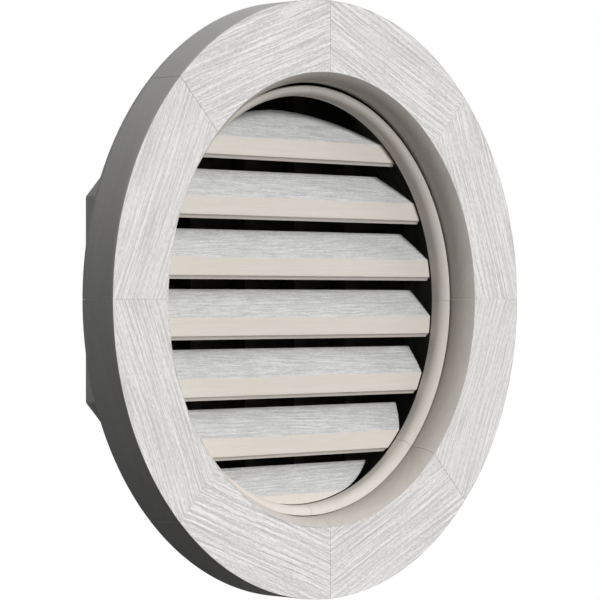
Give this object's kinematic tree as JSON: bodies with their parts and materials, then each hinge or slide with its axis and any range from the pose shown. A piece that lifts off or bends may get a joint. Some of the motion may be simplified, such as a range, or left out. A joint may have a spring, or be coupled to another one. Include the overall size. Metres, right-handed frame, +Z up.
{
  "type": "round gable vent",
  "caption": "Round louvred gable vent with a flat mitred trim ring, a bead inside it, sloping slats and a box that sits in the wall opening.",
  "frame": {"origin": "centre of the trim ring on the wall plane, where the back of the trim lies", "axes": "+X to the right seen from the front, +Y from the front into the wall, +Z up"},
  "size_m": [0.7366, 0.1255, 0.7366],
  "materials": {
    "rough_primed_wood": "rough-sawn grain under matt off-white primer",
    "smooth_primed_wood": "smooth moulding under matt warm off-white primer",
    "louvre_wood": "rough-sawn grain on top and smooth planed face, matt off-white primer",
    "box_wood": "primed outside, painted black inside",
    "black_painted_wood": "matt black paint",
    "zinc_nail": "zinc plated"
  },
  "bodies": {
    "root": {"trim_segment_1": "rough_primed_wood", "trim_segment_2": "rough_primed_wood", "trim_segment_3": "rough_primed_wood", "trim_segment_4": "rough_primed_wood", "trim_segment_5": "rough_primed_wood", "trim_segment_6": "rough_primed_wood", "trim_segment_7": "rough_primed_wood", "trim_segment_8": "rough_primed_wood", "bead_segment_1": "smooth_primed_wood", "bead_segment_2": "smooth_primed_wood", "bead_segment_3": "smooth_primed_wood", "bead_segment_4": "smooth_primed_wood", "bead_segment_5": "smooth_primed_wood", "bead_segment_6": "smooth_primed_wood", "bead_segment_7": "smooth_primed_wood", "bead_segment_8": "smooth_primed_wood", "louvre_slat_1": "louvre_wood", "louvre_slat_2": "louvre_wood", "louvre_slat_3": "louvre_wood", "louvre_slat_4": "louvre_wood", "louvre_slat_5": "louvre_wood", "louvre_slat_6": "louvre_wood", "louvre_slat_7": "louvre_wood", "back_batten_1": "black_painted_wood", "back_batten_2": "black_painted_wood", "back_batten_3": "black_painted_wood", "back_batten_4": "black_painted_wood", "box_board_1": "box_wood", "box_board_2": "box_wood", "box_board_3": "box_wood", "box_board_4": "box_wood", "box_board_5": "box_wood", "box_board_6": "box_wood", "box_board_7": "box_wood", "box_board_8": "box_wood", "backing_board": "black_painted_wood", "backing_nails": "zinc_nail"}
  },
  "joints": []
}
